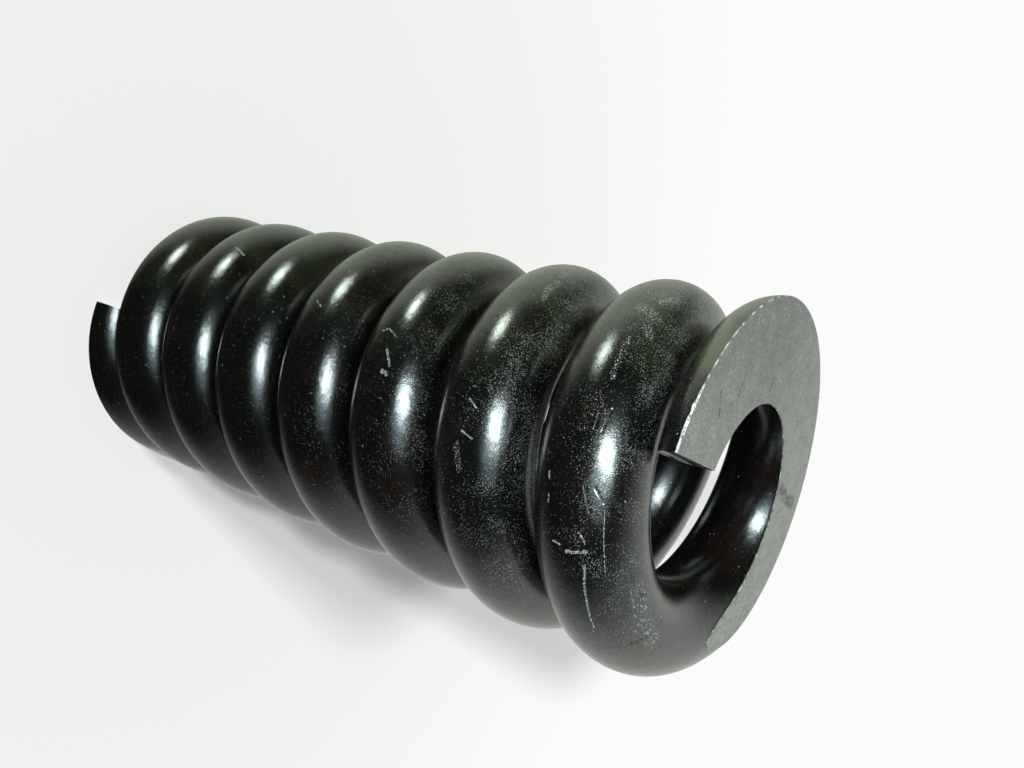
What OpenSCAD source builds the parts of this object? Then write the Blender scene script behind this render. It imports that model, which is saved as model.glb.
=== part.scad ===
// Draft control spring: one heavy round wire wound into a right-hand compression spring.
// Its end turns are closed and ground flat, and it stands on one of them with its axis along Z.
// All sizes are in millimetres and all angles in degrees.

/* [Wire and coil] */
// Diameter of the wire
wire_d = 18; // [8:0.5:30]
// Mean diameter of the coil, between wire centres
mean_d = 52; // [32:1:120]
// Turns of wire from tip to tip
turns = 7.985; // [5:0.005:14]
// Gap between neighbouring working turns
coil_gap = 3.3; // [0.5:0.1:12]

/* [Closed and ground ends] */
// Turns wound tight at each end
closed_turns = 0.5; // [0.2:0.05:0.75]
// Turns over which the pitch then opens out
ease_turns = 0.25; // [0.1:0.05:0.5]
// Share of the wire's thickness left at each ground tip
tip_share = 0.3; // [0.15:0.05:0.6]
// Angle by which the inside of each tip is cut back
tip_cut_angle = 5; // [0:0.5:15]
// Angle round the axis at which the upper tip ends
upper_tip_angle = -10; // [-180:1:180]

/* [Smoothness] */
// Sides of the wire's round section
wire_sides = 20; // [12:2:24]
// Rings of points in one turn of the wire
rings_per_turn = 30; // [18:1:36]

/* [Hidden] */
wire_r = wire_d / 2;
mean_r = mean_d / 2;
tip_height = tip_share * wire_d;
open_turns = turns - 2 * closed_turns - ease_turns;
free_length = wire_d * turns + coil_gap * open_turns + 2 * (tip_height - wire_r);
ring_count = round(turns * rings_per_turn);
black_paint = [0.06, 0.06, 0.06];

// A smooth step from 0 to 1, and the area under it as far as x
function eased(x) = x <= 0 ? 0 : x >= 1 ? 1 : x * x * (3 - 2 * x);
function eased_area(x) = x <= 0 ? 0 : x >= 1 ? x - 1 / 2 : pow(x, 3) - pow(x, 4) / 2;

// How far the wire is past the lower and the upper change of pitch, counted in lengths of that change
function past_lower(u) = (u - closed_turns) / ease_turns;
function past_upper(u) = (u - closed_turns - open_turns) / ease_turns;

// Rise per turn after u turns, and the height of the wire's centre there
function lead(u) = wire_d + coil_gap * (eased(past_lower(u)) - eased(past_upper(u)));
function height(u) =
    let (opened = ease_turns * (eased_area(past_lower(u)) - eased_area(past_upper(u))))
    tip_height - wire_r + wire_d * u + coil_gap * opened;

// Point after u turns, out from the wire's centre line and up along its tilted section
function coil_point(u, out, up) =
    let (a = upper_tip_angle + 360 * (u - turns))
    let (tilt = atan(lead(u) / (2 * PI * mean_r)))
    [
        (mean_r + out) * cos(a) + up * sin(tilt) * sin(a),
        (mean_r + out) * sin(a) - up * sin(tilt) * cos(a),
        height(u) + up * cos(tilt)
    ];

// Turns wound at one ring, a little fewer from tip to tip on the inside of the coil
function ring_turns(ring, out) =
    let (cut = tip_cut_angle / 360 * (wire_r - out) / wire_d)
    cut + (turns - 2 * cut) * ring / ring_count;

function surface_point(ring, side) =
    let (s = 360 * side / wire_sides)
    let (out = wire_r * cos(s))
    coil_point(ring_turns(ring, out), out, wire_r * sin(s));

function tip_centre(ring) = coil_point(ring_turns(ring, 0), 0, 0);

// The round wire as it is wound and cut off, before its ends are ground
module wound_wire() {
    skin = [for (ring = [0 : ring_count]) for (side = [0 : wire_sides - 1]) surface_point(ring, side)];
    centres = [tip_centre(0), tip_centre(ring_count)];
    lower_centre = len(skin);
    upper_centre = lower_centre + 1;
    last = ring_count * wire_sides;
    sides = [0 : wire_sides - 1];
    walls = [
        for (ring = [0 : ring_count - 1]) for (side = sides)
            let (next = (side + 1) % wire_sides, low = ring * wire_sides, high = low + wire_sides)
            each [[low + side, low + next, high + next], [low + side, high + next, high + side]]
    ];
    lower_tip = [for (side = sides) [lower_centre, (side + 1) % wire_sides, side]];
    upper_tip = [for (side = sides) [upper_centre, last + side, last + (side + 1) % wire_sides]];
    polyhedron(points = concat(skin, centres), faces = concat(walls, lower_tip, upper_tip));
}

module coil_spring() {
    color(black_paint)
    intersection() {
        wound_wire();
        // Both ends are ground square to the axis
        cylinder(h = free_length, r = mean_r + wire_d, $fn = 96);
    }
}

coil_spring();
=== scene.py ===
import math

import bmesh
import bpy
import numpy as np
from mathutils import Matrix, Vector


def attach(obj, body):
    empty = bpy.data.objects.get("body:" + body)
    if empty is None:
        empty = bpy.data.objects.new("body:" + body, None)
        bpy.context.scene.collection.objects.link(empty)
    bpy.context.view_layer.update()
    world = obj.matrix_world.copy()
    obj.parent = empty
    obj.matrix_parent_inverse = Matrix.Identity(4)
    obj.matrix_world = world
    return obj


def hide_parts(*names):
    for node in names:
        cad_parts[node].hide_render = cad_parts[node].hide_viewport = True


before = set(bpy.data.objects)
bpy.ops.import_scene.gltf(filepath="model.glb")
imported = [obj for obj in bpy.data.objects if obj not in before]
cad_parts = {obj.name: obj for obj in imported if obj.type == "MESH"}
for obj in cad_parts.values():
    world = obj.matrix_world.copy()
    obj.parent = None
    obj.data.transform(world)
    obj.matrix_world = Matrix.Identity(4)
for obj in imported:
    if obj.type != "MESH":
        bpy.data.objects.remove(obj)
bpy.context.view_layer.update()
print("frame loaded")

# the wound wire, in metres and turns, as in the part's source
coil = {
    "wireR": 0.009,
    "meanR": 0.026,
    "turns": 7.985,
    "coilGap": 0.0033,
    "closedTurns": 0.5,
    "easeTurns": 0.25,
    "tipShare": 0.3,
    "tipCutDeg": 5.0,
    "upperTipDeg": -10.0,
    "endRings": 210,        # rings in each of the two end turns
    "midRings": 92,         # rings in each turn between them
    "halfSides": 34,        # columns down each half of the wire
    "edge": 0.00018,        # width of the broken edge round a ground face
    "burr": 0.00024,        # ragged edge that grinding left beside the upper tip
    "burrTurns": 0.05,      # how far it runs back from the tip
    "burrTip": 0.45,        # its share at the tip itself
    "burrRise": 1.6,        # how fast it grows from there, and how fast it fades at the end
    "burrFade": 2.5,
    "burrRag": (0.1, 1.5),  # least and most of its raggedness
    "burrSeed": 4,
    "faceCols": 25,         # columns across a ground face
    "tipRings": 7,          # rings from a cut tip's rim to its middle
    "levelTries": 12,       # rounds of the search for a level on the skin
    "grazing": 1e-6,        # radians from the wire's crest at which a level only grazes it
    "closedSpan": 1e-9,     # a ground face narrower than this has closed
    "insetMost": 0.3,       # most of a face's width that its broken edge takes
    "merge": 2e-7,          # points closer than this are one
    "sharpDeg": 30,         # edges that turn more than this stay sharp
}
coil["openTurns"] = coil["turns"] - 2 * coil["closedTurns"] - coil["easeTurns"]
coil["length"] = (2 * coil["wireR"] * coil["turns"] + coil["coilGap"] * coil["openTurns"]
                  + 2 * coil["wireR"] * (2 * coil["tipShare"] - 1))


# smooth step from 0 to 1: three times the square less twice the cube
def eased(x):
    x = np.clip(x, 0, 1)
    return x * x * (3 - 2 * x)


# area under the smooth step: the cube less half the fourth power, then straight on
def easedArea(x):
    inside = np.clip(x, 0, 1)
    return inside ** 3 - inside ** 4 / 2 + np.maximum(x - 1, 0)


# rise per turn: one wire thickness in the closed ends, plus the gap in between
def lead(u):
    low = (u - coil["closedTurns"]) / coil["easeTurns"]
    high = (u - coil["closedTurns"] - coil["openTurns"]) / coil["easeTurns"]
    return 2 * coil["wireR"] + coil["coilGap"] * (eased(low) - eased(high))


# height of the wire's centre: the lead added up over the turns
def centreHeight(u):
    low = (u - coil["closedTurns"]) / coil["easeTurns"]
    high = (u - coil["closedTurns"] - coil["openTurns"]) / coil["easeTurns"]
    opened = coil["easeTurns"] * (easedArea(low) - easedArea(high))
    start = coil["wireR"] * (2 * coil["tipShare"] - 1)
    return start + 2 * coil["wireR"] * u + coil["coilGap"] * opened


# tilt of the wire: the angle whose tangent is the rise of a turn over the way round it
def tiltOf(u):
    return np.arctan(lead(u) / (2 * math.pi * coil["meanR"]))


# point of the helix at u turns, moved out from the centre line and up along the tilted section
def coilPoint(u, out, up):
    a = math.radians(coil["upperTipDeg"]) + 2 * math.pi * (u - coil["turns"])
    tilt = tiltOf(u)
    radius = coil["meanR"] + out
    return np.stack([radius * np.cos(a) + up * np.sin(tilt) * np.sin(a),
                     radius * np.sin(a) - up * np.sin(tilt) * np.cos(a),
                     centreHeight(u) + up * np.cos(tilt)], axis=-1)


# the inside of the coil is wound a little shorter, so each tip's cut leans back
def ringTurns(share, out):
    cut = coil["tipCutDeg"] / 360 * (coil["wireR"] - out) / (2 * coil["wireR"])
    return cut + (coil["turns"] - 2 * cut) * share


# section angle at which the wire's skin crosses a level, found by trying again from the last answer;
# side is +1 outside the coil and -1 inside
def levelAngle(share, level, side):
    s = np.zeros_like(share)
    for _ in range(coil["levelTries"]):
        u = ringTurns(share, coil["wireR"] * side * np.cos(s))
        rise = (level - centreHeight(u)) / (coil["wireR"] * np.cos(tiltOf(u)))
        s = np.arcsin(np.clip(rise, -1, 1))
    return s


# a grid of points as a list of quads, row by row
def gridQuads(rows, cols, start, flip=False):
    i, j = np.meshgrid(np.arange(rows - 1), np.arange(cols - 1), indexing="ij")
    a = (start + i * cols + j).ravel()
    quads = np.stack([a, a + cols, a + cols + 1, a + 1], axis=1)
    return quads[:, ::-1] if flip else quads


# several grids joined into one closed mesh, with a material number and a wire map for each
def meshFromGrids(name, grids):
    points, quads, marks, maps = [], [], [], []
    start = 0
    for grid in grids:
        rows, cols = grid["points"].shape[:2]
        points.append(grid["points"].reshape(-1, 3))
        faces = gridQuads(rows, cols, start, grid.get("flip", False))
        quads.append(faces)
        marks.append(np.full(len(faces), grid["material"]))
        maps.append(grid["map"].reshape(-1, 2))
        start += rows * cols
    points, quads = np.concatenate(points), np.concatenate(quads)
    maps, marks = np.concatenate(maps), np.concatenate(marks)
    mesh = bpy.data.meshes.new(name)
    mesh.from_pydata(points.tolist(), [], quads.tolist())
    mesh.polygons.foreach_set("material_index", marks.astype(np.int32))
    layer = mesh.uv_layers.new(name="wireMap")
    layer.data.foreach_set("uv", maps[quads.ravel()].astype(np.float32).ravel())
    # merge the seams, and leave only the ground edges sharp
    shell = bmesh.new()
    shell.from_mesh(mesh)
    bmesh.ops.remove_doubles(shell, verts=shell.verts, dist=coil["merge"])
    bmesh.ops.recalc_face_normals(shell, faces=shell.faces)
    shell.to_mesh(mesh)
    shell.free()
    mesh.shade_smooth()
    mesh.set_sharp_from_angle(angle=math.radians(coil["sharpDeg"]))
    mesh.update()
    return mesh


# the wire's skin, a round section carried along the helix between the two ground levels,
# with a flat face and a narrow broken edge at each level and a cut tip at each end
def coilGrids():
    n, m = coil["endRings"], coil["midRings"]
    last = coil["turns"] - 1
    u = np.concatenate([np.linspace(0, 1, n, endpoint=False),
                        np.linspace(1, last, round(m * (last - 1)), endpoint=False),
                        np.linspace(last, coil["turns"], n + 1)])
    share = u / coil["turns"]
    r, top = coil["wireR"], coil["length"]
    t = np.linspace(0, 1, coil["halfSides"] + 1)
    # the broken edge: a steady width all round, and outside the upper tip the ragged burr,
    # which is half grown at the tip, full a little way back and gone after its turns
    fromTip = (coil["turns"] - u) / coil["burrTurns"]
    grown = coil["burrTip"] + (1 - coil["burrTip"]) * eased(coil["burrRise"] * fromTip)
    swell = eased(coil["burrFade"] * (1 - fromTip)) * grown
    ragged = np.random.default_rng(coil["burrSeed"]).uniform(*coil["burrRag"], len(u))
    edgeOf = {1: coil["edge"] + coil["burr"] * swell * ragged, -1: np.full_like(u, coil["edge"])}
    grids, ends, faces = [], {}, {}
    for side in (1, -1):
        high = levelAngle(share, top - edgeOf[side], side)
        low = levelAngle(share, edgeOf[side], side)
        s = high[:, None] + (low - high)[:, None] * t[None, :]
        out, up = side * r * np.cos(s), r * np.sin(s)
        turns = ringTurns(share[:, None], out)
        around = np.where(side > 0, s, math.pi - s) * r
        along = turns * 2 * math.pi * coil["meanR"]
        grids.append({"points": coilPoint(turns, out, up), "material": 0, "flip": side < 0,
                      "map": np.stack([along, around], axis=-1)})
        ends[side] = {"high": high, "low": low}
    # ground faces: from the outer to the inner edge at one level, just inside the skin's own edges
    for level, key, flip in ((top, "high", False), (0.0, "low", True)):
        rows = np.flatnonzero(np.abs(ends[1][key]) < math.pi / 2 - coil["grazing"])
        rows = np.arange(max(rows[0] - 1, 0), min(rows[-1] + 2, len(share)))
        edges = {}
        for side in (1, -1):
            s = ends[side][key][rows]
            out = side * r * np.cos(s)
            edges[side] = coilPoint(ringTurns(share[rows], out), out, r * np.sin(s))
        span = np.linalg.norm(edges[1] - edges[-1], axis=1)
        opened = span > coil["closedSpan"]
        flats = {}
        for side in (1, -1):
            inset = edgeOf[side][rows] / np.maximum(span, coil["closedSpan"])
            inset = np.where(opened, np.minimum(inset, coil["insetMost"]), 0)
            flats[side] = edges[side] + (edges[-side] - edges[side]) * inset[:, None]
            flats[side][:, 2] = np.where(opened, level, flats[side][:, 2])
        across = np.linspace(0, 1, coil["faceCols"])[None, :, None]
        face = flats[1][:, None] + (flats[-1] - flats[1])[:, None] * across
        faces[key] = face
        grids.append({"points": face, "material": 1, "flip": flip, "map": face[..., :2].copy()})
        for outer, inner in ((edges[1], flats[1]), (flats[-1], edges[-1])):
            strip = np.stack([outer, inner], axis=1)
            grids.append({"points": strip, "material": 2, "flip": flip, "map": strip[..., :2].copy()})
    # cut tips: the end ring, skin and ground edge together, drawn in to its middle
    shrink = np.linspace(1, 0, coil["tipRings"])
    for row, face, flip in ((0, faces["low"][0], True), (-1, faces["high"][-1], False)):
        outer, inner = grids[0]["points"][row], grids[1]["points"][row]
        if row == 0:
            ring = np.concatenate([outer, face, inner[::-1], outer[:1]])
        else:
            ring = np.concatenate([outer, inner[::-1], face[::-1], outer[:1]])
        middle = ring[:-1].mean(axis=0)
        cap = middle + (ring[None] - middle) * shrink[:, None, None]
        grids.append({"points": cap, "material": 3, "flip": flip, "map": cap[..., ::2].copy()})
    return grids


coilMesh = meshFromGrids("coilSkin", coilGrids())
coilSpring = bpy.data.objects.new("coilSpring", coilMesh)
bpy.context.collection.objects.link(coilSpring)
print("coil skin", len(coilMesh.polygons), "faces")


# one node with its inputs set or linked, by name or number
def addNode(tree, kind, inputs=None, **settings):
    made = tree.nodes.new(kind)
    for key, value in settings.items():
        setattr(made, key, value)
    for key, value in (inputs or {}).items():
        if isinstance(value, bpy.types.NodeSocket):
            tree.links.new(value, made.inputs[key])
        else:
            made.inputs[key].default_value = value
    return made


def mathNode(tree, operation, a, b):
    return addNode(tree, "ShaderNodeMath", {0: a, 1: b}, operation=operation).outputs[0]


def vectorNode(tree, operation, a, b):
    made = addNode(tree, "ShaderNodeVectorMath", {0: a, 1: b}, operation=operation)
    return made.outputs["Value" if operation in ("DOT_PRODUCT", "DISTANCE") else "Vector"]


def noiseNode(tree, vector, scale, detail=2.0, rough=0.5):
    return addNode(tree, "ShaderNodeTexNoise",
                   {"Vector": vector, "Scale": scale, "Detail": detail, "Roughness": rough}).outputs["Fac"]


def rangeNode(tree, value, low, high, toLow=0.0, toHigh=1.0):
    return addNode(tree, "ShaderNodeMapRange",
                   {"Value": value, "From Min": low, "From Max": high, "To Min": toLow, "To Max": toHigh},
                   interpolation_type="SMOOTHSTEP").outputs[0]


# noise cut to a mask, from its scale and the noise at which the mask starts and is full
def noiseMask(tree, vector, scale, low, high, detail=3.0, toLow=0.0, toHigh=1.0):
    return rangeNode(tree, noiseNode(tree, vector, scale, detail), low, high, toLow, toHigh)


# two values added, each by its share
def shareNode(tree, a, shareA, b, shareB):
    return mathNode(tree, "ADD", mathNode(tree, "MULTIPLY", a, shareA), mathNode(tree, "MULTIPLY", b, shareB))


def mixColour(tree, factor, a, b):
    return addNode(tree, "ShaderNodeMix", {0: factor, 6: a, 7: b}, data_type="RGBA").outputs[2]


def newMaterial(name):
    material = bpy.data.materials.new(name)
    material.use_nodes = True
    return material, material.node_tree, material.node_tree.nodes["Principled BSDF"]


def bumpInto(tree, shader, height, strength, depth):
    bump = addNode(tree, "ShaderNodeBump", {"Height": height, "Strength": strength, "Distance": depth})
    tree.links.new(bump.outputs[0], shader.inputs["Normal"])


# place on the wire map of a point given as turns and degrees round the section
def onWire(turns, degrees):
    return (turns * 2 * math.pi * coil["meanR"], math.radians(degrees) * coil["wireR"], 0)


# 1 on the line from a to b and over its core, falling to 0 at its width, by the distance to the line
def strokeMask(tree, place, a, b, width, core=0.35):
    a, b = Vector(a), Vector(b)
    step = b - a
    reach = vectorNode(tree, "SUBTRACT", place, a)
    share = vectorNode(tree, "DOT_PRODUCT", reach, step / step.length_squared)
    share = mathNode(tree, "MINIMUM", mathNode(tree, "MAXIMUM", share, 0.0), 1.0)
    foot = addNode(tree, "ShaderNodeVectorMath", {0: step, "Scale": share}, operation="SCALE")
    away = vectorNode(tree, "DISTANCE", reach, foot.outputs["Vector"])
    return rangeNode(tree, away, width * core, width, 1.0, 0.0)


# several lines in one mask, the strongest at each place
def strokes(tree, place, lines):
    mask = None
    for a, b, width in lines:
        one = strokeMask(tree, place, a, b, width)
        mask = one if mask is None else mathNode(tree, "MAXIMUM", mask, one)
    return mask


# paint colours and grain, and its marks as turns and degrees at both ends with a width in metres
paint = {
    "black": (0.0019, 0.0024, 0.0016, 1),
    "brown": (0.0080, 0.0040, 0.0034, 1),
    "paintedOliveSheen": (0.0150, 0.0180, 0.0070, 1),
    "dust": (0.40, 0.42, 0.39, 1),
    # olive: colour of a painted sheen on the coil's upper side
    "bare": (0.40, 0.42, 0.39, 1),
    "moss": (0.040, 0.052, 0.020, 1),
    "pit": (0.0010, 0.0010, 0.0010, 1),
    "upSide": (0.382, -0.924, 0.0),         # side of the coil that lay uppermost
    "brownPatch": (75, 0.52, 0.72),         # noise scale, and the noise where a patch starts and is full
    "paintedSheenPatch": (110, 0.35, 0.65),
    "paintedSheenFrom": (0.018, 0.034),            # metres towards the upper side
    "crowdPatch": (160, 0.3, 0.7),
    "crowdLeast": 0.4,
    "dustHeight": (0.06, 0.145, 0.3),       # where dust starts and is thickest, and its share before that
    "dustRadius": (0.021, 0.028, 0.2),
    "dustUpward": (-0.030, 0.005, 0.6),
    "dustAround": (-0.003, 0.007, 0.5),
    "speckScale": 8000,
    "speckLimit": (0.82, 0.65),             # noise over this is a speck, on clean and on dusty paint
    "speckSoft": 0.09,
    "fleckPatch": (1900, 0.74, 0.78),
    "strayScale": 2600,
    "stray": (0.0005, 0.0005, 0),           # how far a scratch strays along and round the wire
    "scratchDepth": 0.40,
    "scuffDepth": 0.30,
    "breakScale": 4600,
    "wearLimit": (0.83, 1.0),
    "drawnCells": (70, 1700, 1),            # drawing marks to a metre, along and round the wire
    "dashCells": (1100, 4200, 1),
    "dashLimit": (0.54, 0.66),
    "dashShare": 0.8,
    "pitPatch": (3000, 0.38, 0.5),
    "roughNoise": (0.3, 0.7),
    "rough": (0.17, 0.23),
    "wornRough": 0.7,
    "ior": 2.0,
    "speckRelief": 0.2,
    "drawnRelief": 0.10,
    "swellScale": 420,                      # gentle unevenness of the coat
    "bump": (0.22, 0.0003),                 # strength, and depth in metres
    "rubbed": ((7.1200, 76.0, 7.1850, 72.0, 0.0022),),
    "green": ((7.8750, -42.0, 7.9080, -22.0, 0.0042),),
    "scratches": (
        (7.0746, 6.0, 7.0734, 26.0, 0.00036), (7.0590, 18.5, 7.0675, 25.0, 0.00020),
        (7.0690, -8.5, 7.0706, 0.5, 0.00020), (7.0850, 24.0, 7.1000, 22.6, 0.00032),
        (7.1000, 22.6, 7.1270, 22.5, 0.00030), (7.1270, 22.5, 7.1400, 23.5, 0.00022),
        (7.0420, 41.0, 7.0900, 43.5, 0.00012), (7.0215, -21.0, 7.0250, -20.0, 0.00036),
        (7.0380, -18.0, 7.0415, -17.5, 0.00036), (4.9525, -10.5, 4.9503, -1.5, 0.00024),
        (4.9503, -1.5, 4.9571, 13.5, 0.00018), (4.9697, 8.0, 4.9822, 18.0, 0.00040),
        (4.9879, 10.5, 4.9902, 18.0, 0.00050), (5.9896, 6.0, 5.9965, 16.5, 0.00018),
        (6.0147, 4.5, 6.0193, 18.0, 0.00018), (3.9394, -3.0, 3.9452, 9.0, 0.00020),
        (1.8904, 24.0, 1.8939, 42.0, 0.00044),
    ),
    "scuffs": (
        (6.8783, 9.0, 6.8841, 30.0, 0.0017), (6.8977, 25.5, 6.9046, 34.5, 0.0014),
        (6.8635, 24.0, 6.8487, 30.0, 0.0013), (6.9149, 16.5, 6.9479, 18.0, 0.0009),
        (5.8846, 30.0, 5.8721, 25.5, 0.0010), (5.8710, 25.5, 5.8561, 27.0, 0.0014),
        (5.8447, 22.5, 5.8333, 22.5, 0.0011), (6.0261, 1.5, 6.0432, 7.5, 0.0010),
    ),
    "grooves": (
        (6.9890, 9.0, 6.9753, 10.5, 0.0003), (6.9879, 18.0, 6.9696, 19.5, 0.0003),
        (6.9890, 25.5, 6.9719, 28.5, 0.0003), (7.0267, 19.5, 7.0438, 27.0, 0.0003),
        (7.0278, 30.0, 7.0369, 39.0, 0.0003),
    ),
    "pits": (
        (7.1693, 52.5, 7.1716, 61.5, 0.0005), (7.1716, 61.5, 7.1716, 69.0, 0.0003),
        (7.1214, 76.5, 7.1271, 81.0, 0.0004),
    ),
}


# marks of the table as lines on the wire map
def wireLines(lines):
    return [(onWire(a, b), onWire(c, d), width) for a, b, c, d, width in lines]


def blackPaint():
    material, tree, shader = newMaterial("blackPaint")
    coords = tree.nodes.new("ShaderNodeTexCoord")
    place, wire = coords.outputs["Object"], coords.outputs["UV"]
    # tints: brown patches, and over them a painted olive sheen in patches towards the upper side
    upward = vectorNode(tree, "DOT_PRODUCT", place, paint["upSide"])
    paintedOliveSheen = mathNode(tree, "MULTIPLY", rangeNode(tree, upward, *paint["paintedSheenFrom"]),
                     noiseMask(tree, place, *paint["paintedSheenPatch"]))
    brown = noiseMask(tree, place, *paint["brownPatch"])
    colour = mixColour(tree, brown, paint["black"], paint["brown"])
    colour = mixColour(tree, paintedOliveSheen, colour, paint["paintedOliveSheen"])
    # dust: fine specks, thicker outside, towards the upper end and on the wire's upper side
    height = addNode(tree, "ShaderNodeSeparateXYZ", {0: place}).outputs["Z"]
    level = vectorNode(tree, "MULTIPLY", place, (1, 1, 0))
    radius = addNode(tree, "ShaderNodeVectorMath", {0: level}, operation="LENGTH").outputs["Value"]
    around = addNode(tree, "ShaderNodeSeparateXYZ", {0: wire}).outputs["Y"]
    crowd = noiseMask(tree, place, *paint["crowdPatch"], toLow=paint["crowdLeast"])
    for value, key in ((height, "dustHeight"), (radius, "dustRadius"),
                       (upward, "dustUpward"), (around, "dustAround")):
        start, full, least = paint[key]
        crowd = mathNode(tree, "MULTIPLY", crowd, rangeNode(tree, value, start, full, least, 1.0))
    fine = noiseNode(tree, place, paint["speckScale"], detail=0)
    limit = rangeNode(tree, crowd, 0.0, 1.0, *paint["speckLimit"])
    specks = rangeNode(tree, mathNode(tree, "SUBTRACT", fine, limit), 0.0, paint["speckSoft"])
    flecks = noiseMask(tree, place, *paint["fleckPatch"], detail=2)
    colour = mixColour(tree, mathNode(tree, "MAXIMUM", specks, flecks), colour, paint["dust"])
    # scratches and scuffs, broken up by noise so that no line is even
    wobble = addNode(tree, "ShaderNodeTexNoise",
                     {"Vector": place, "Scale": paint["strayScale"], "Detail": 2.0}).outputs["Color"]
    stray = vectorNode(tree, "SUBTRACT", wobble, (0.5, 0.5, 0.5))
    strayed = vectorNode(tree, "ADD", wire, vectorNode(tree, "MULTIPLY", stray, paint["stray"]))
    scratch = strokes(tree, strayed, wireLines(paint["scratches"]))
    scuff = strokes(tree, strayed, wireLines(paint["scuffs"]))
    depth = mathNode(tree, "MAXIMUM", mathNode(tree, "MULTIPLY", scratch, paint["scratchDepth"]),
                     mathNode(tree, "MULTIPLY", scuff, paint["scuffDepth"]))
    broken = noiseNode(tree, place, paint["breakScale"], detail=2, rough=0.6)
    worn = rangeNode(tree, mathNode(tree, "ADD", depth, broken), *paint["wearLimit"])
    colour = mixColour(tree, worn, colour, paint["bare"])
    # lengthwise drawing marks under the paint, and short bare dashes where the wire has rubbed
    drawn = addNode(tree, "ShaderNodeMapping", {"Vector": wire, "Scale": paint["drawnCells"]}).outputs[0]
    marks = noiseNode(tree, drawn, 1.0, detail=3)
    dashes = addNode(tree, "ShaderNodeMapping", {"Vector": wire, "Scale": paint["dashCells"]}).outputs[0]
    bare = noiseMask(tree, dashes, 1.0, *paint["dashLimit"], detail=2, toHigh=paint["dashShare"])
    rubbed = mathNode(tree, "MULTIPLY", strokes(tree, strayed, wireLines(paint["rubbed"])), bare)
    colour = mixColour(tree, rubbed, colour, paint["bare"])
    # a green stain near the upper tip, and dark pits
    colour = mixColour(tree, strokes(tree, wire, wireLines(paint["green"])), colour, paint["moss"])
    pits = mathNode(tree, "MULTIPLY", strokes(tree, strayed, wireLines(paint["pits"])),
                    noiseMask(tree, place, *paint["pitPatch"], detail=2))
    colour = mixColour(tree, pits, colour, paint["pit"])
    tree.links.new(colour, shader.inputs["Base Color"])
    # gloss: uneven with the drawing marks, and dull where the paint is worn
    rough = rangeNode(tree, marks, *paint["roughNoise"], *paint["rough"])
    dull = mathNode(tree, "MULTIPLY", mathNode(tree, "MAXIMUM", worn, pits), paint["wornRough"])
    tree.links.new(mathNode(tree, "MAXIMUM", rough, dull), shader.inputs["Roughness"])
    shader.inputs["IOR"].default_value = paint["ior"]
    # relief: grain, drawing marks, an uneven coat and a few grooves
    relief = shareNode(tree, fine, paint["speckRelief"], marks, paint["drawnRelief"])
    relief = mathNode(tree, "ADD", relief, noiseNode(tree, place, paint["swellScale"], detail=3))
    relief = mathNode(tree, "SUBTRACT", relief, strokes(tree, wire, wireLines(paint["grooves"])))
    bumpInto(tree, shader, relief, *paint["bump"])
    return material


# ground faces: grey steel with grinding lines, grain and a few dark nicks, in metres on the face
ground = {
    "grey": (0.310, 0.308, 0.276, 1),
    "pale": (0.462, 0.460, 0.413, 1),
    # the next colour is a painted shade on the part of the face towards the coil's upper side
    "paintedShade": (0.180, 0.181, 0.164, 1),
    "grain": (0.110, 0.110, 0.104, 1),
    "glint": (0.640, 0.640, 0.590, 1),
    "dark": (0.05, 0.05, 0.05, 1),
    "lineCells": (150, 2400, 1),            # grinding lines to a metre, along and across them
    "lineTurn": (0, 0, 0.5),
    "mottleScale": 480,
    "toneShares": (0.35, 0.65),             # of lines and of mottling
    "toneRange": (0.38, 0.62),
    "paintedShadeFrom": (-0.015, 0.036),           # metres towards the coil's upper side
    "paintedShadeShare": 0.85,
    # this and the next two: painted light, making the face paler to one side
    "paintedLightSide": (-0.924, -0.382, 0.0),
    "paintedLightFrom": (0.005, 0.033),
    "paintedLightShare": 0.5,
    "grainScale": 2100,
    "patchScale": 260,
    "spotShares": (0.7, 0.3),               # of grain and of patches
    "grainRange": (0.49, 0.66),
    "grainShare": 0.50,
    "glintRange": (0.49, 0.34),
    "glintShare": 0.32,
    "nickScale": 700,
    "nickShares": (0.8, 0.9),               # of the lines and of the noise that frays them
    "nickRange": (0.95, 1.38),
    "nickDepth": 0.7,
    "smudgePatch": (900, 0.35, 0.60),
    "smudgeShares": (0.1, 0.7),             # least and most
    "metallic": 0.25,
    "roughNoise": (0.3, 0.7),
    "rough": (0.46, 0.62),
    "bump": (0.25, 0.0002),
    "nicks": (
        ((0.01585, -0.01973), (0.01630, -0.01651), 0.00050),
        ((0.02408, -0.01604), (0.02333, -0.01449), 0.00052),
        ((0.02333, -0.01449), (0.02166, -0.01201), 0.00052),
        ((0.01773, -0.01534), (0.01892, -0.01443), 0.00038),
        ((0.00234, -0.02133), (0.00309, -0.01914), 0.00046),
    ),
    "smudge": (
        ((-0.0195, -0.0030), (-0.0290, -0.0008), 0.0019),
    ),
}


# marks of the table as lines on a ground face
def faceLines(lines):
    return [((*a, 0), (*b, 0), width) for a, b, width in lines]


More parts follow.
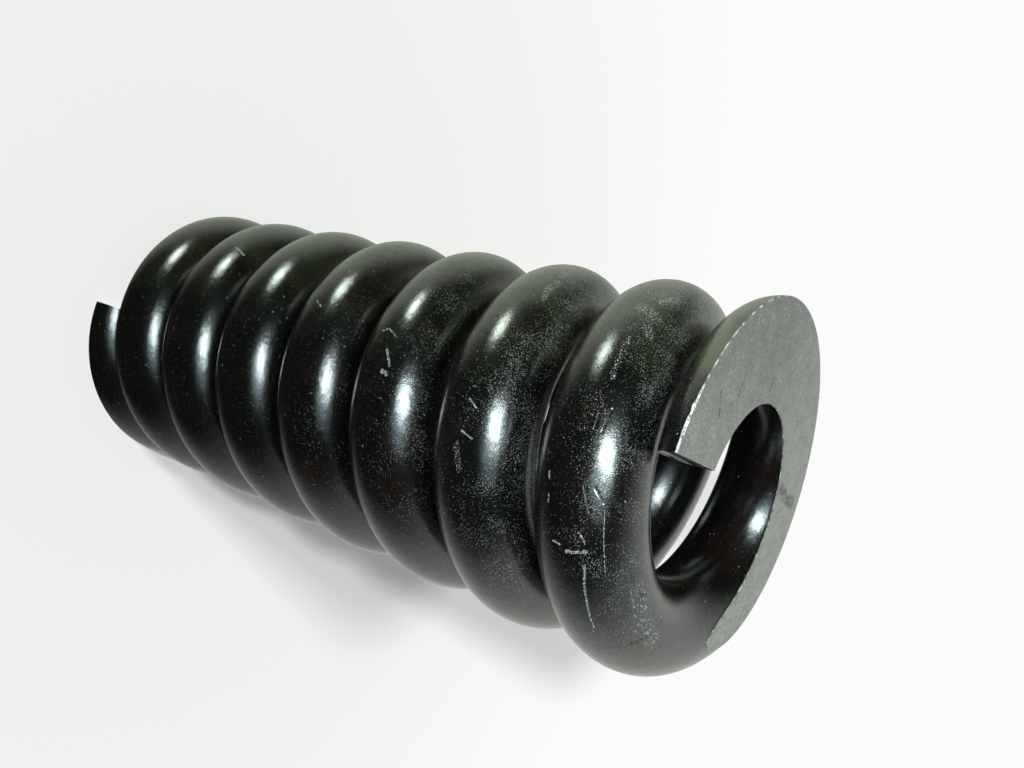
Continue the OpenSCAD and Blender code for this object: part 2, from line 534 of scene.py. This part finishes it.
def groundSteel():
    material, tree, shader = newMaterial("groundSteel")
    place = tree.nodes.new("ShaderNodeTexCoord").outputs["Object"]
    # grinding lines and mottling, then a painted shade towards the coil's upper side and painted light to one
    # side
    turned = {"Vector": place, "Rotation": ground["lineTurn"], "Scale": ground["lineCells"]}
    lined = addNode(tree, "ShaderNodeMapping", turned).outputs[0]
    lineShare, mottleShare = ground["toneShares"]
    tone = shareNode(tree, noiseNode(tree, lined, 1.0, detail=3), lineShare,
                     noiseNode(tree, place, ground["mottleScale"], detail=4, rough=0.6), mottleShare)
    colour = mixColour(tree, rangeNode(tree, tone, *ground["toneRange"]), ground["grey"], ground["pale"])
    # painted shade towards the coil's upper side, then painted light to one side
    upward = vectorNode(tree, "DOT_PRODUCT", place, paint["upSide"])
    paintedShade = rangeNode(tree, upward, *ground["paintedShadeFrom"], 0.0, ground["paintedShadeShare"])
    colour = mixColour(tree, paintedShade, colour, ground["paintedShade"])
    aside = vectorNode(tree, "DOT_PRODUCT", place, ground["paintedLightSide"])
    paintedLight = rangeNode(tree, aside, *ground["paintedLightFrom"], 0.0, ground["paintedLightShare"])
    colour = mixColour(tree, paintedLight, colour, ground["pale"])
    # dark grain and small glints all over, thicker in some patches
    grainPart, patchPart = ground["spotShares"]
    spots = shareNode(tree, noiseNode(tree, place, ground["grainScale"], detail=3, rough=0.65), grainPart,
                      noiseNode(tree, place, ground["patchScale"], detail=3), patchPart)
    grain = rangeNode(tree, spots, *ground["grainRange"], 0.0, ground["grainShare"])
    colour = mixColour(tree, grain, colour, ground["grain"])
    glint = rangeNode(tree, spots, *ground["glintRange"], 0.0, ground["glintShare"])
    colour = mixColour(tree, glint, colour, ground["glint"])
    # nicks and a smudge
    flat = vectorNode(tree, "MULTIPLY", place, (1, 1, 0))
    linePart, frayPart = ground["nickShares"]
    frayed = shareNode(tree, strokes(tree, flat, faceLines(ground["nicks"])), linePart,
                       noiseNode(tree, place, ground["nickScale"], detail=2), frayPart)
    nicks = rangeNode(tree, frayed, *ground["nickRange"])
    least, most = ground["smudgeShares"]
    smudge = mathNode(tree, "MULTIPLY", strokes(tree, flat, faceLines(ground["smudge"])),
                      noiseMask(tree, place, *ground["smudgePatch"], toLow=least, toHigh=most))
    marked = mathNode(tree, "MAXIMUM", mathNode(tree, "MULTIPLY", nicks, ground["nickDepth"]), smudge)
    colour = mixColour(tree, marked, colour, ground["dark"])
    tree.links.new(colour, shader.inputs["Base Color"])
    shader.inputs["Metallic"].default_value = ground["metallic"]
    rough = rangeNode(tree, tone, *ground["roughNoise"], *ground["rough"])
    tree.links.new(rough, shader.inputs["Roughness"])
    bumpInto(tree, shader, mathNode(tree, "SUBTRACT", tone, nicks), *ground["bump"])
    return material


# the broken edge: bare bright metal here and there, brightest on the burr beside the tip
edgeMetal = {
    "dull": (0.13, 0.135, 0.125, 1),
    "bright": (0.50, 0.51, 0.47, 1),
    "burr": (0.78, 0.79, 0.76, 1),
    "brightPatch": (900, 0.42, 0.68),
    "burrLine": ((0.0310, -0.0129), (0.0334, -0.0055), 0.003),
    "tornPatch": (2200, 0.40, 0.60),
    "tornShare": 0.9,
    "rough": 0.65,
    "bumpScale": 2600,
    "bump": (0.5, 0.0003),
}


def brightEdge():
    material, tree, shader = newMaterial("brightEdge")
    place = tree.nodes.new("ShaderNodeTexCoord").outputs["Object"]
    tone = noiseMask(tree, place, *edgeMetal["brightPatch"])
    colour = mixColour(tree, tone, edgeMetal["dull"], edgeMetal["bright"])
    a, b, width = edgeMetal["burrLine"]
    burr = strokeMask(tree, place, (*a, coil["length"]), (*b, coil["length"]), width)
    torn = noiseMask(tree, place, *edgeMetal["tornPatch"], toHigh=edgeMetal["tornShare"])
    colour = mixColour(tree, mathNode(tree, "MULTIPLY", burr, torn), colour, edgeMetal["burr"])
    tree.links.new(colour, shader.inputs["Base Color"])
    shader.inputs["Roughness"].default_value = edgeMetal["rough"]
    bumpInto(tree, shader, noiseNode(tree, place, edgeMetal["bumpScale"], detail=2), *edgeMetal["bump"])
    return material


# the cropped tips: torn metal in streaks across the wire, with a painted shadow just under the upper ground
# face
tipMetal = {
    "dark": (0.012, 0.012, 0.012, 1),
    "pale": (0.80, 0.81, 0.77, 1),
    "streakCells": (240, 240, 1000),        # streaks to a metre, across the wire and along the coil's axis
    "streakRange": (0.38, 0.54),
    "lip": (0.0018, 0.0028),                # depths at which the painted shadow under the face starts to fade and is gone
    "tipShadowShare": 0.15,
    "rough": 0.8,
    "specular": 0.0,
    "bump": (0.9, 0.0012),
}


def cutTip():
    material, tree, shader = newMaterial("cutTip")
    place = tree.nodes.new("ShaderNodeTexCoord").outputs["Object"]
    torn = addNode(tree, "ShaderNodeMapping", {"Vector": place, "Scale": tipMetal["streakCells"]}).outputs[0]
    streaks = noiseNode(tree, torn, 1.0, detail=4, rough=0.65)
    height = addNode(tree, "ShaderNodeSeparateXYZ", {0: place}).outputs["Z"]
    fade, gone = tipMetal["lip"]
    # painted shadow: the tip is darkened just under the upper ground face
    lip = rangeNode(tree, height, coil["length"] - fade, coil["length"] - gone)
    tone = mathNode(tree, "MULTIPLY", rangeNode(tree, streaks, *tipMetal["streakRange"]),
                    rangeNode(tree, lip, 0.0, 1.0, tipMetal["tipShadowShare"], 1.0))
    colour = mixColour(tree, tone, tipMetal["dark"], tipMetal["pale"])
    tree.links.new(colour, shader.inputs["Base Color"])
    shader.inputs["Roughness"].default_value = tipMetal["rough"]
    shader.inputs["Specular IOR Level"].default_value = tipMetal["specular"]
    bumpInto(tree, shader, streaks, *tipMetal["bump"])
    return material


for made in (blackPaint(), groundSteel(), brightEdge(), cutTip()):
    coilMesh.materials.append(made)
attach(coilSpring, "root")
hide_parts("coil_spring")
print("materials done")

# pale floor with a painted shade round its middle, white backdrop, and what the gloss mirrors of the studio
studio = {
    "floorRings": (0.3, 1.0, 4.0, 20.0, 400.0),     # radii in metres
    "floorSides": 128,
    "floorShadedNear": (0.785, 0.795, 0.783, 1),
    "floorFar": (0.875, 0.88, 0.875, 1),
    "floorFade": (0.02, 0.42),              # metres from the middle
    "floorRough": 0.9,
    "tableSide": (-0.882, 0.469, 0.035),    # pale side of the studio, as the gloss shows it
    "tableFrom": -0.13,                     # cosine at which its glow starts
    "tableGlow": 0.9,
    "backSide": (-0.407, -0.734, -0.545),   # a smaller pale patch behind and below
    "backFrom": 0.48,
    "backPower": 1.5,
    "backGlow": 0.76,
    "dim": 0.018,
    "backdrop": 0.965,
    "fill": 0.15,
    "plainTint": (0.99, 1.0, 0.99, 1),
    "mirrorTint": (0.95, 1.0, 0.93, 1),
    "backTint": (0.90, 1.0, 0.78, 1),
}

# floor: rings of points round the origin, the middle closed by one face
sides = studio["floorSides"]
ringAngle = np.linspace(0, 2 * math.pi, sides + 1)[:-1]
ringR = np.array(studio["floorRings"])[:, None]
floorPoints = np.stack([ringR * np.cos(ringAngle), ringR * np.sin(ringAngle),
                        np.zeros((len(ringR), sides))], axis=-1).reshape(-1, 3)
rowIndex, colIndex = np.meshgrid(np.arange(len(ringR) - 1), np.arange(sides), indexing="ij")
nextCol = (colIndex + 1) % sides
floorFaces = np.stack([rowIndex * sides + colIndex, (rowIndex + 1) * sides + colIndex,
                       (rowIndex + 1) * sides + nextCol, rowIndex * sides + nextCol], axis=-1).reshape(-1, 4)
floorMesh = bpy.data.meshes.new("floor")
floorMesh.from_pydata(floorPoints.tolist(), [], floorFaces.tolist() + [list(range(sides))])
floor = bpy.data.objects.new("floor", floorMesh)
bpy.context.collection.objects.link(floor)
floor.visible_glossy = False


def paleFloor():
    material, tree, shader = newMaterial("paleFloor")
    place = tree.nodes.new("ShaderNodeTexCoord").outputs["Object"]
    away = addNode(tree, "ShaderNodeVectorMath", {0: place}, operation="LENGTH").outputs["Value"]
    # painted shade: the floor is darker round the spring and pales outwards over floorFade metres
    fade = rangeNode(tree, away, *studio["floorFade"])
    colour = mixColour(tree, fade, studio["floorShadedNear"], studio["floorFar"])
    tree.links.new(colour, shader.inputs["Base Color"])
    shader.inputs["Roughness"].default_value = studio["floorRough"]
    shader.inputs["Specular IOR Level"].default_value = 0.0
    return material


floorMesh.materials.append(paleFloor())


# world: white to the camera, a little fill on the colours, and two pale sides that only the gloss shows
def studioWorld():
    world = bpy.data.worlds.new("studio")
    world.use_nodes = True
    tree = world.node_tree
    tree.nodes.clear()
    ray = tree.nodes.new("ShaderNodeLightPath")
    direction = tree.nodes.new("ShaderNodeTexCoord").outputs["Generated"]
    tableGlow = rangeNode(tree, vectorNode(tree, "DOT_PRODUCT", direction, studio["tableSide"]),
                          studio["tableFrom"], 1.0, 0.0, studio["tableGlow"])
    backGlow = rangeNode(tree, vectorNode(tree, "DOT_PRODUCT", direction, studio["backSide"]),
                         studio["backFrom"], 1.0)
    backGlow = mathNode(tree, "MULTIPLY", mathNode(tree, "POWER", backGlow, studio["backPower"]),
                        studio["backGlow"])
    glow = mathNode(tree, "MAXIMUM", mathNode(tree, "MAXIMUM", tableGlow, backGlow), studio["dim"])
    mirrored = mathNode(tree, "MAXIMUM", ray.outputs["Is Glossy Ray"], ray.outputs["Is Transmission Ray"])
    shown = mathNode(tree, "MULTIPLY", mirrored, glow)
    seen = mathNode(tree, "MULTIPLY", ray.outputs["Is Camera Ray"], studio["backdrop"])
    spread = mathNode(tree, "MULTIPLY", ray.outputs["Is Diffuse Ray"], studio["fill"])
    strength = mathNode(tree, "ADD", mathNode(tree, "ADD", shown, seen), spread)
    tint = mixColour(tree, mirrored, studio["plainTint"], studio["mirrorTint"])
    tint = mixColour(tree, mathNode(tree, "MULTIPLY", mirrored, backGlow), tint, studio["backTint"])
    background = addNode(tree, "ShaderNodeBackground", {"Color": tint, "Strength": strength})
    output = tree.nodes.new("ShaderNodeOutputWorld")
    tree.links.new(background.outputs[0], output.inputs[0])
    return world


bpy.context.scene.world = studioWorld()


# place and turn of a thing whose own -Z looks at the target
def aimAt(place, target, upward):
    ahead = (Vector(target) - Vector(place)).normalized()
    right = ahead.cross(Vector(upward)).normalized()
    turn = Matrix((right, right.cross(ahead), -ahead)).transposed()
    return Matrix.Translation(Vector(place)) @ turn.to_4x4()


# unit direction from degrees round the axis and degrees above the floor
def fromAngles(azimuth, elevation):
    a, e = math.radians(azimuth), math.radians(elevation)
    return (math.cos(a) * math.cos(e), math.sin(a) * math.cos(e), math.sin(e))


# suns for the floor's shadow, and soft lamps for the spring; gloss says whether the paint mirrors a lamp
lamps = {
    "key": {"kind": "SUN", "from": fromAngles(-21, 26), "energy": 2.8, "angle": 5},
    "high": {"kind": "SUN", "from": fromAngles(-31, 50), "energy": 1.35, "angle": 8},
    "low": {"kind": "SUN", "from": fromAngles(-5, 19), "energy": 2.2, "angle": 3},
    "front": {"kind": "AREA", "place": (0.215, -0.050, 0.315), "at": (0.02, 0.0, 0.09), "gloss": True,
              "energy": 0.50, "size": (0.062, 0.14), "colour": (0.82, 1.0, 1.0)},
    "halo": {"kind": "AREA", "place": (0.229, 0.003, 0.317), "at": (0.02, 0.0, 0.09), "gloss": True,
             "energy": 0.085, "size": (0.17, 0.18), "colour": (0.74, 0.98, 1.08)},
    "wash": {"kind": "AREA", "place": (0.219, -0.050, 0.319), "at": (0.02, 0.0, 0.09), "gloss": False,
             "energy": 0.38, "size": (0.14, 0.22), "colour": (1.0, 1.0, 0.98)},
    "above": {"kind": "AREA", "place": (0.117, -0.195, 0.040), "at": (0.01, -0.01, 0.08), "gloss": True,
              "energy": 0.12, "size": (0.055, 0.060), "colour": (0.84, 1.0, 0.86)},
}
springOnly = bpy.data.collections.new("springOnly")
springOnly.objects.link(coilSpring)
floorOnly = bpy.data.collections.new("floorOnly")
floorOnly.objects.link(floor)
for name, lamp in lamps.items():
    data = bpy.data.lights.new(name, lamp["kind"])
    data.energy = lamp["energy"]
    holder = bpy.data.objects.new(name, data)
    bpy.context.collection.objects.link(holder)
    holder.visible_camera = False
    if lamp["kind"] == "SUN":
        data.angle = math.radians(lamp["angle"])
        holder.matrix_world = aimAt(lamp["from"], (0, 0, 0), (0, 0, 1))
        holder.light_linking.receiver_collection = floorOnly
    else:
        data.shape = "ELLIPSE"
        data.color = lamp["colour"]
        data.size, data.size_y = lamp["size"]
        holder.visible_glossy = lamp["gloss"]
        holder.matrix_world = aimAt(lamp["place"], lamp["at"], (0, 0, 1))
        holder.light_linking.receiver_collection = springOnly
print("studio done")

# the photograph's camera: place, the point it looks at, lens in millimetres and framing
view = {
    "place": (0.145633, -0.008090, 0.203904),
    "lookAt": (0.0, 0.00529, 0.08706),
    "upward": (0.382, -0.924, 0.0),
    "lens": 29.36,
    "sensor": 36,
    "shift": (90 / 1024, 45 / 1024),
    "clip": (0.005, 1000),
}
camera = bpy.data.cameras.new("camera")
camera.lens = view["lens"]
camera.sensor_width = view["sensor"]
camera.sensor_fit = "HORIZONTAL"
camera.shift_x, camera.shift_y = view["shift"]
camera.clip_start, camera.clip_end = view["clip"]
cameraHolder = bpy.data.objects.new("camera", camera)
bpy.context.collection.objects.link(cameraHolder)
cameraHolder.matrix_world = aimAt(view["place"], view["lookAt"], view["upward"])
bpy.context.scene.camera = cameraHolder
bpy.context.scene.view_settings.view_transform = "Standard"
